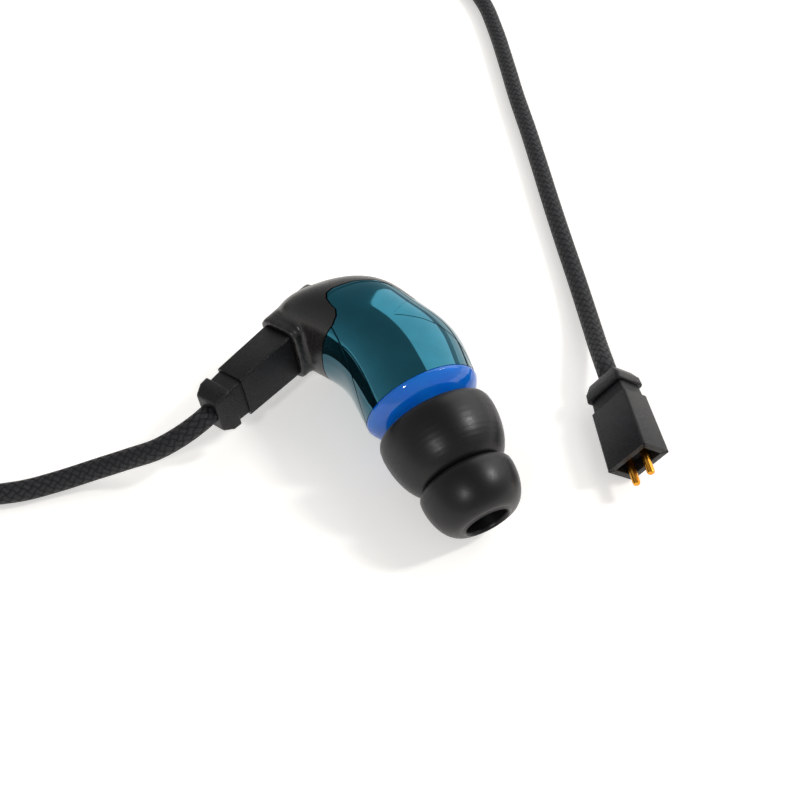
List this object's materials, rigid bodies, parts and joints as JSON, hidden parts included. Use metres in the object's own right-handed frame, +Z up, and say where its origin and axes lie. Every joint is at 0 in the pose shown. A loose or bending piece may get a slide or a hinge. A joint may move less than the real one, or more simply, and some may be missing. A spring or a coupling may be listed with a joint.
{
  "type": "in-ear monitor",
  "caption": "Single in-ear monitor with metallised shell, clear nozzle ring and double-flange silicone tip, on a detachable braided two-pin cable coiled with its jack.",
  "frame": {"origin": "on the floor under the centre of the earpiece's bounding box, its ear tip included", "axes": "+Z up, +Y away from the viewer, +X to the viewer's right; the nozzle points towards -Y and +X"},
  "size_m": [0.111, 0.1038, 0.013],
  "materials": {
    "teal_shell": "mirror teal metallised shell",
    "black_housing": "satin moulded black",
    "blue_clear": "clear blue moulding",
    "steel_mesh": "woven steel",
    "driver_metal": "drawn metal can",
    "clear_tubing": "clear soft tube",
    "damper_red": "matt",
    "damper_green": "matt",
    "circuit_board": "solder mask",
    "ceramic": "matt ceramic",
    "black_moulding": "satin",
    "soft_moulding": "soft matt",
    "gold": "gold plated",
    "wire_lacquer": "lacquer",
    "silicone": "soft matt silicone",
    "plug_black": "finely textured",
    "braid": "braided sleeve",
    "strap": "woven hook-and-loop strap"
  },
  "bodies": {
    "cable": {"plug_a_sleeve": "plug_black", "plug_a_insert": "black_moulding", "plug_a_pins": "gold", "plug_a_boot": "plug_black", "plug_b_sleeve": "plug_black", "plug_b_insert": "black_moulding", "plug_b_pins": "gold", "plug_b_boot": "plug_black", "cord_left": "braid", "coil_left": "braid", "cord_left_lead": "braid", "cord_right": "braid", "coil_right": "braid", "cord_right_lead": "braid", "cord_main_lead": "braid", "coil_main": "braid", "cord_main": "braid", "cord_tie": "strap", "y_split": "black_moulding", "jack_relief": "soft_moulding", "jack_body": "black_moulding", "jack_sleeve": "gold", "jack_ring": "gold", "jack_tip": "gold", "jack_insulators": "black_moulding"},
    "cinch": {"cinch_slider": "black_moulding"},
    "earpiece": {"shell_upper": "teal_shell", "shell_lower": "teal_shell", "rear_housing": "black_housing", "nozzle_base": "blue_clear", "nozzle_stem": "blue_clear", "nozzle_screen": "steel_mesh", "driver_plate": "blue_clear", "low_driver_left": "driver_metal", "low_driver_right": "driver_metal", "high_driver": "driver_metal", "low_sound_tube": "clear_tubing", "high_sound_tube": "clear_tubing", "low_damper": "damper_red", "high_damper": "damper_green", "crossover_board": "circuit_board", "crossover_capacitor": "ceramic", "crossover_resistor": "ceramic", "socket_insert": "black_moulding", "socket_contacts": "gold", "socket_leads": "wire_lacquer"},
    "tip": {"ear_tip": "silicone"}
  },
  "joints": [
    {"name": "earpiece_pull", "type": "slide", "parent": "cable", "child": "earpiece", "axis": [0.6293, 0.7771, 0], "range_m": [0, 0.006]},
    {"name": "tip_pull", "type": "slide", "parent": "earpiece", "child": "tip", "axis": [0.4317, -0.8851, -0.1736], "range_m": [0, 0.009]},
    {"name": "cinch_slide", "type": "slide", "parent": "cable", "child": "cinch", "axis": [0, 1, 0], "range_m": [-0.005, 0.005]}
  ]
}
